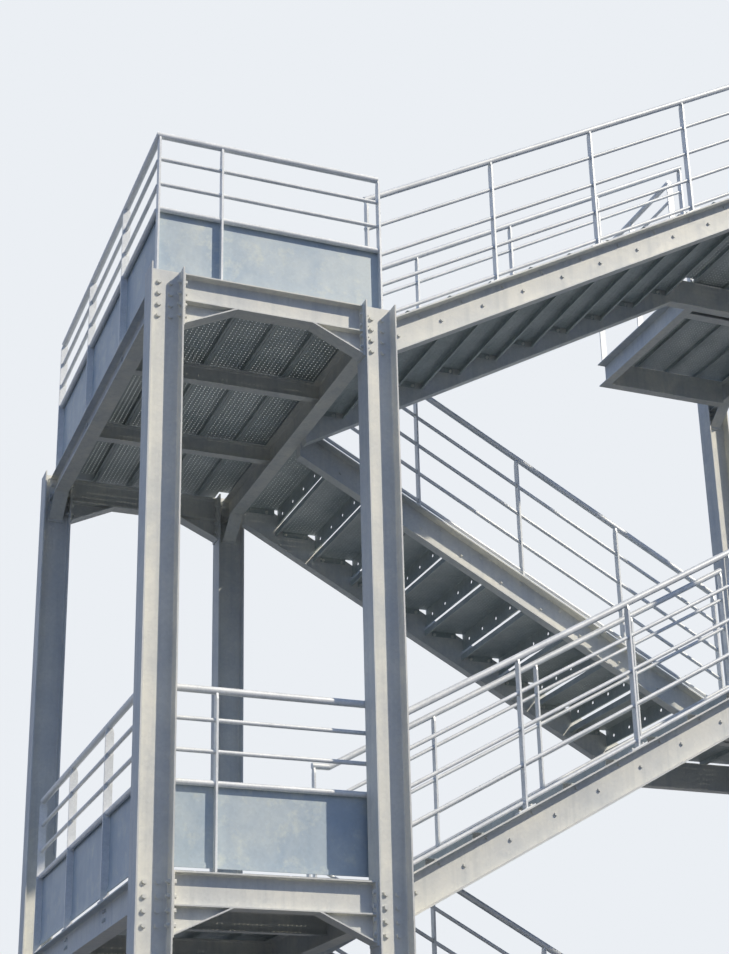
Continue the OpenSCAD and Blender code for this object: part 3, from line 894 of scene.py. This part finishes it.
@dataclass(frozen=True)
class Bolt:
    """Hexagon bolt on a washer, standing on +Z, in millimetres."""

    flats: float
    height: float
    washer_d: float
    washer_t: float
    shank_d: float
    shank_out: float = 9
    round_sides: int = 10
    shank_sides: int = 8

    def mesh(self, end: BoltEnd) -> Mesh:
        """Builds one end of the bolt.

        Args:
            end: Head or nut; a nut shows the end of the shank.

        Returns:
            A mesh that can be stamped.
        """
        bm = bmesh.new()
        self._disc(bm, self.washer_d, 0, self.washer_t, self.round_sides)
        corners = self.flats / math.cos(math.pi / 6)
        self._disc(bm, corners, self.washer_t, self.height, 6)
        if end is BoltEnd.NUT:
            self._disc(bm, self.shank_d, self.washer_t + self.height, self.shank_out,
                       self.shank_sides)
        bmesh.ops.recalc_face_normals(bm, faces=bm.faces)
        return mesh_of("bolt", bm)

    def _disc(self, bm: BMesh, d: float, z: float, height: float, sides: int) -> None:
        """Adds a closed prism of a diameter over its corners, which starts at z."""
        bmesh.ops.create_cone(bm, cap_ends=True, segments=sides, radius1=d * MM / 2,
                              radius2=d * MM / 2, depth=height * MM,
                              matrix=Matrix.Translation((0, 0, (z + height / 2) * MM)))


# Beam connections
M16 = Bolt(flats=24, height=10, washer_d=30, washer_t=3, shank_d=16)
# Treads and joists
M12 = Bolt(flats=19, height=8, washer_d=24, washer_t=2.5, shank_d=12)
# Post feet
M10 = Bolt(flats=16, height=6.5, washer_d=20, washer_t=2, shank_d=10)
# Anchors in the ground
M20 = Bolt(flats=30, height=16, washer_d=37, washer_t=3, shank_d=20, shank_out=22)


@dataclass
class Bolts:
    """All bolts of the stair, grouped by what they hold.

    Rows count down from the top of a beam, and gauges to both sides of a middle line.
    """

    materials: dict[Slot, Material]
    rows: tuple[float, ...] = (58, 132, 206, 280)
    web_gauge: float = 35
    flange_gauge: float = 38
    joist_gauge: float = 22
    joist_rows: tuple[float, ...] = (35, 85)
    tread_gauge: float = 75
    tread_shift: float = 6
    tread_drop: float = 31
    foot_gauge: float = 38
    end_foot_gauge: float = 30
    meshes: dict[tuple, Mesh] = field(default_factory=dict)

    def put(self, piece: Piece, bolt: Bolt, end: BoltEnd, place: Vector, way: Vector) -> None:
        """Stamps one end of a bolt.

        Args:
            piece: The group that it belongs to.
            bolt: Its size.
            end: Head or nut.
            place: Where it sits.
            way: Which way it points.
        """
        key = (bolt, end)
        if key not in self.meshes:
            self.meshes[key] = bolt.mesh(end)
        turn = way.to_track_quat("Z", "Y").to_matrix().to_4x4()
        piece.stamp(self.meshes[key], Matrix.Translation(place) @ turn)

    def pair(self, piece: Piece, bolt: Bolt, place: Vector, way: Vector, grip: float) -> None:
        """Stamps a head that points a way, and its nut on the other side of the grip."""
        self.put(piece, bolt, BoltEnd.HEAD, place, way)
        self.put(piece, bolt, BoltEnd.NUT, place - way * grip * MM, -way)

    def beam_bolts(self) -> None:
        """Bolts the side beams, end beams and cross beams to the columns."""
        piece = Piece("beam_bolts", Slot.SECTIONS)
        left = [(x, TOWER.left_level(s)) for s in (0, 1) for x in (0, TOWER.landing_l)]
        right = [(TOWER.end_col_x, TOWER.right_level(s)) for s in (0, 1)]
        grip = TOWER.col_web + TOWER.end_plate_t
        for (x, level), row, side in product(left + right, self.rows, (-1, 1)):
            z = level - TOWER.plank_fold - row
            for y, way in ((0, -1), (TOWER.landing_w, 1)):
                place = TOWER.at(x + side * self.web_gauge, y + way * TOWER.col_web / 2, z)
                self.pair(piece, M16, place, way * ALONG_Y, grip)
        grip = TOWER.col_flange + TOWER.end_plate_t
        for (x, level), row in product(left, self.rows):
            way = 1 if x == 0 else -1
            face = x + way * (TOWER.col_d / 2 + TOWER.end_plate_t)
            z = level - TOWER.plank_fold - row
            for y, side in product((0, TOWER.landing_w), (-1, 1)):
                self.pair(piece, M16, TOWER.at(face, y + side * self.flange_gauge, z),
                          way * ALONG_X, grip)
        piece.finish(self.materials)

    def joist_bolts(self) -> None:
        """Bolts the joists to the webs of the side beams."""
        piece = Piece("joist_bolts", Slot.SECTIONS)
        web = TOWER.beam_web / 2
        sides = ((-web, -1), (TOWER.landing_l + web, 1))
        for storey, y, (x, way), row, side in product((0, 1), TOWER.joists, sides,
                                                      self.joist_rows, (-1, 1)):
            z = TOWER.left_level(storey) - TOWER.plank_fold - row
            self.put(piece, M12, BoltEnd.HEAD, TOWER.at(x, y + side * self.joist_gauge, z),
                     way * ALONG_X)
        piece.finish(self.materials)

    def tread_bolts(self) -> None:
        """Bolts the tread plates to the stringer webs, two at each end."""
        reach = TOWER.tread_w / 2 + self.tread_shift
        for storey in (0, 1):
            level = TOWER.left_level(storey) - self.tread_drop
            front = Piece(f"tread_bolts_{2 * storey + 2}", Slot.SECTIONS)
            back = Piece(f"tread_bolts_{2 * storey + 1}", Slot.SECTIONS)
            for k in range(TOWER.flight_treads):
                x = TOWER.deck_edge + k * TOWER.going + reach
                self._tread_pair(front, x, TOWER.outer_tip, level + k * TOWER.riser)
            for k in range(1, TOWER.back_treads(storey) + 1):
                x = TOWER.deck_edge + k * TOWER.going - reach
                self._tread_pair(back, x, TOWER.back_flight_y, level - k * TOWER.riser)
            front.finish(self.materials)
            back.finish(self.materials)

    def _tread_pair(self, piece: Piece, x: float, y: float, z: float) -> None:
        """Adds the four bolts of one tread.

        Args:
            piece: The group that they belong to.
            x: Middle of the tread's end plates.
            y: Front side of the flight.
            z: Height of the bolts.
        """
        grip = TOWER.stringer_web + TOWER.tread_plate_t
        inset = TOWER.stringer_w - TOWER.stringer_web
        ends = ((y + inset, -ALONG_Y), (y + TOWER.flight_w - inset, ALONG_Y))
        for gauge, (end_y, way) in product((-self.tread_gauge, self.tread_gauge), ends):
            self.pair(piece, M12, TOWER.at(x + gauge, end_y, z), way, grip)

    def _level_foot(self, piece: Piece, x: float, y: float, top: float, way: Vector,
                    gauge: float | None = None) -> None:
        """Adds the two bolts of a level foot plate.

        Args:
            piece: The group that they belong to.
            x: Middle of the plate along X.
            y: Middle of the plate along Y.
            top: Top of the plate.
            way: Direction in which the plate runs.
            gauge: Distance of the bolts from its middle, or none for the usual one.
        """
        for side in (-1, 1):
            spot = TOWER.at(x, y, top) + way * side * (gauge or self.foot_gauge) * MM
            self.put(piece, M10, BoltEnd.HEAD, spot, UP)

    def foot_bolts(self) -> None:
        """Bolts the foot plates of the guard posts on the landings."""
        piece = Piece("foot_bolts", Slot.SECTIONS)
        front_y = TOWER.outer_tip + TOWER.stringer_w / 2
        end_x = TOWER.end_col_x + TOWER.guard_out
        end_gap = (TOWER.landing_w - TOWER.outer_tip - front_y
                   - TOWER.post_t / 2) / TOWER.end_posts
        stop_x = TOWER.landing_l + TOWER.guard_past - TOWER.end_foot_back
        for storey in (0, 1):
            top = TOWER.left_level(storey) - TOWER.plank_fold + TOWER.post_foot_t
            self._level_foot(piece, TOWER.front_post - TOWER.guard_out, TOWER.guard_y, top,
                             ALONG_X)
            self._level_foot(piece, stop_x, TOWER.guard_y, top, ALONG_X, self.end_foot_gauge)
            for k in range(TOWER.side_posts - 1):
                self._level_foot(piece, -TOWER.guard_out,
                                 TOWER.first_side_post + k * TOWER.side_post_gap, top, ALONG_Y)
            top = TOWER.right_level(storey) - TOWER.plank_fold + TOWER.post_foot_t
            for x in (TOWER.kink_x, (TOWER.kink_x + end_x) / 2):
                self._level_foot(piece, x, front_y, top, ALONG_X)
            for k in range(1, TOWER.end_posts):
                self._level_foot(piece, end_x, front_y + k * end_gap, top, ALONG_Y)
        piece.finish(self.materials)

    def flight_foot_bolts(self) -> None:
        """Bolts the foot plates of the middle posts to the sloping stringers."""
        piece = Piece("flight_foot_bolts", Slot.SECTIONS)
        guard_in = TOWER.stringer_w / 2
        lift = TOWER.post_foot_t / math.cos(TOWER.pitch)
        lines = ((TOWER.outer_tip + guard_in, 1),
                 (TOWER.outer_tip + TOWER.flight_w - guard_in, 1),
                 (TOWER.back_flight_y + guard_in, -1))
        for storey, (y, rise), post_x, side in product((0, 1), lines, TOWER.middle_post_x,
                                                       (-1, 1)):
            way = Vector((-rise * math.sin(TOWER.pitch), 0, math.cos(TOWER.pitch)))
            x = post_x + side * self.foot_gauge
            z = TOWER.string_z(x, TOWER.left_level(storey), rise) + lift
            self.put(piece, M10, BoltEnd.HEAD, TOWER.at(x, y, z), way)
        piece.finish(self.materials)

    def anchors(self) -> None:
        """Anchor nuts on the base plates."""
        piece = Piece("anchor_bolts", Slot.SECTIONS)
        half = TOWER.anchor_gap / 2
        for x, y, dx, dy in product((0, TOWER.landing_l, TOWER.end_col_x),
                                    (0, TOWER.landing_w), (-half, half), (-half, half)):
            self.put(piece, M20, BoltEnd.NUT, TOWER.at(x + dx, y + dy, TOWER.base_t), UP)
        piece.finish(self.materials)

    def build(self) -> None:
        """Builds every group of bolts."""
        self.beam_bolts()
        self.joist_bolts()
        self.tread_bolts()
        self.foot_bolts()
        self.flight_foot_bolts()
        self.anchors()


@dataclass(frozen=True)
class Photographer:
    """Where the photograph was taken from, found from the straight edges of the steel."""

    place: tuple[float, float, float] = (-5.0466, -9.9403, 0.0638)
    yaw_deg: float = 21.742
    pitch_deg: float = 20.547
    roll_deg: float = -1.276
    focal_px: float = 1697.07
    frame_height_px: float = 954
    sensor_mm: float = 36
    shift: float = 0.12
    sight_m: float = 600

    def camera(self) -> None:
        """Sets the scene's camera up."""
        data = bpy.data.cameras.new("camera")
        data.sensor_width = self.sensor_mm
        data.lens = self.focal_px * self.sensor_mm / self.frame_height_px
        data.shift_y = self.shift
        data.clip_end = self.sight_m
        made = object_of("camera", data)
        # A camera without any turn looks straight down
        turn = (Matrix.Rotation(-math.radians(self.yaw_deg), 4, "Z")
                @ Matrix.Rotation(math.radians(90 + self.pitch_deg), 4, "X")
                @ Matrix.Rotation(math.radians(self.roll_deg), 4, "Z"))
        made.matrix_world = Matrix.Translation(self.place) @ turn
        bpy.context.scene.camera = made


@dataclass(frozen=True)
class Daylight:
    """Daylight: a lamp nearly as sharp as the sun at the right, and a pale surround."""

    towards_lamp: tuple[float, float, float] = (1.1, -1.0, 1.33)
    lamp_strength: float = 3.6
    lamp_angle_deg: float = 0.8
    lamp_colour: str = "#FFF5E2"
    fill_colour: str = "#9CBDF8"
    fill_strength: float = 0.54
    backdrop_colour: str = "#EBEFF4"
    floor_colour: str = "#F6F0E6"
    # What the floor throws back at the steel, as dark paving does
    floor_bounce: str = "#454A50"
    # Share of the backdrop in what the floor shows, which keeps its shadow pale
    floor_evenness: float = 0.35
    floor_size: float = 400

    def build(self) -> None:
        """Makes the lamp, the surround and the floor."""
        self._lamp()
        self._surround()
        self._floor()

    def _lamp(self) -> None:
        """Makes the lamp."""
        data = bpy.data.lights.new("lamp", "SUN")
        data.energy = self.lamp_strength
        data.angle = math.radians(self.lamp_angle_deg)
        data.color = linear(self.lamp_colour)[:3]
        made = object_of("lamp", data)
        made.rotation_euler = Vector(self.towards_lamp).to_track_quat("Z", "Y").to_euler()

    def _seen(self, tree: NodeTree) -> NodeSocket:
        """Tells the rays that show the background from those that only light the steel.

        Args:
            tree: The node tree of the surround or of the floor.

        Returns:
            The socket that is 1 for camera, transmission and glossy rays and 0 for others.
        """
        path = add_node(tree, "LightPath")
        direct = add_node(tree, "Math", {"operation": "MAXIMUM"},
                          {0: path.outputs["Is Camera Ray"],
                           1: path.outputs["Is Transmission Ray"]})
        return add_node(tree, "Math", {"operation": "MAXIMUM"},
                        {0: direct.outputs[0], 1: path.outputs["Is Glossy Ray"]}).outputs[0]

    def _surround(self) -> None:
        """Lights from all sides and shows the backdrop to the camera."""
        world = bpy.data.worlds.new("surround")
        tree = empty_tree(world)
        fill = add_node(tree, "Background",
                        {"Color": linear(self.fill_colour), "Strength": self.fill_strength})
        shown = add_node(tree, "Background", {"Color": linear(self.backdrop_colour)})
        mixed = add_node(tree, "MixShader", None,
                         {0: self._seen(tree), 1: fill.outputs[0], 2: shown.outputs[0]})
        add_node(tree, "OutputWorld", None, {"Surface": mixed.outputs[0]})
        bpy.context.scene.world = world

    def _floor(self) -> None:
        """Lays a pale floor that throws back little light, as paving does."""
        made = bpy.data.materials.new("pale floor")
        tree = empty_tree(made)
        seen = self._seen(tree)
        tone = add_node(tree, "Mix",
                        {"data_type": "RGBA", 6: linear(self.floor_bounce),
                         7: linear(self.floor_colour)}, {0: seen})
        matt = add_node(tree, "BsdfDiffuse", None, {"Color": tone.outputs[2]})
        plain = add_node(tree, "Emission", {"Color": linear(self.backdrop_colour)})
        share = add_node(tree, "Math", {"operation": "MULTIPLY", 1: self.floor_evenness},
                         {0: seen})
        mixed = add_node(tree, "MixShader", None,
                         {0: share.outputs[0], 1: matt.outputs[0], 2: plain.outputs[0]})
        add_node(tree, "OutputMaterial", None, {"Surface": mixed.outputs[0]})
        bm = bmesh.new()
        bmesh.ops.create_grid(bm, x_segments=1, y_segments=1, size=self.floor_size / 2)
        mesh = mesh_of("floor", bm)
        mesh.materials.append(made)
        floor = object_of("floor", mesh)


def dress_solids(materials: dict[Slot, Material]) -> None:
    """Gives every CAD node the finish of its slot.

    Args:
        materials: The material of each slot.
    """
    slots = {row["node"]: row["material_slot"] for row in frame["record"]["subparts"]}
    for name, node in frame["nodes"].items():
        node.data.materials.clear()
        node.data.materials.append(materials[Slot(slots[name])])
    LOG.info("dressed %d solids", len(frame["nodes"]))


def build_scene() -> None:
    """Builds the stair's looks in order, with light and camera."""
    logging.basicConfig(level=logging.INFO, format="%(name)s %(message)s")
    # Colours are shown as they are, without a film look
    bpy.context.scene.view_settings.view_transform = "Standard"
    Photographer().camera()
    Daylight().build()
    materials = {slot: finish.material() for slot, finish in FINISHES.items()}
    dress_solids(materials)
    PunchedSheets(materials).build()
    Bolts(materials).build()


if __name__ == "__main__":
    build_scene()
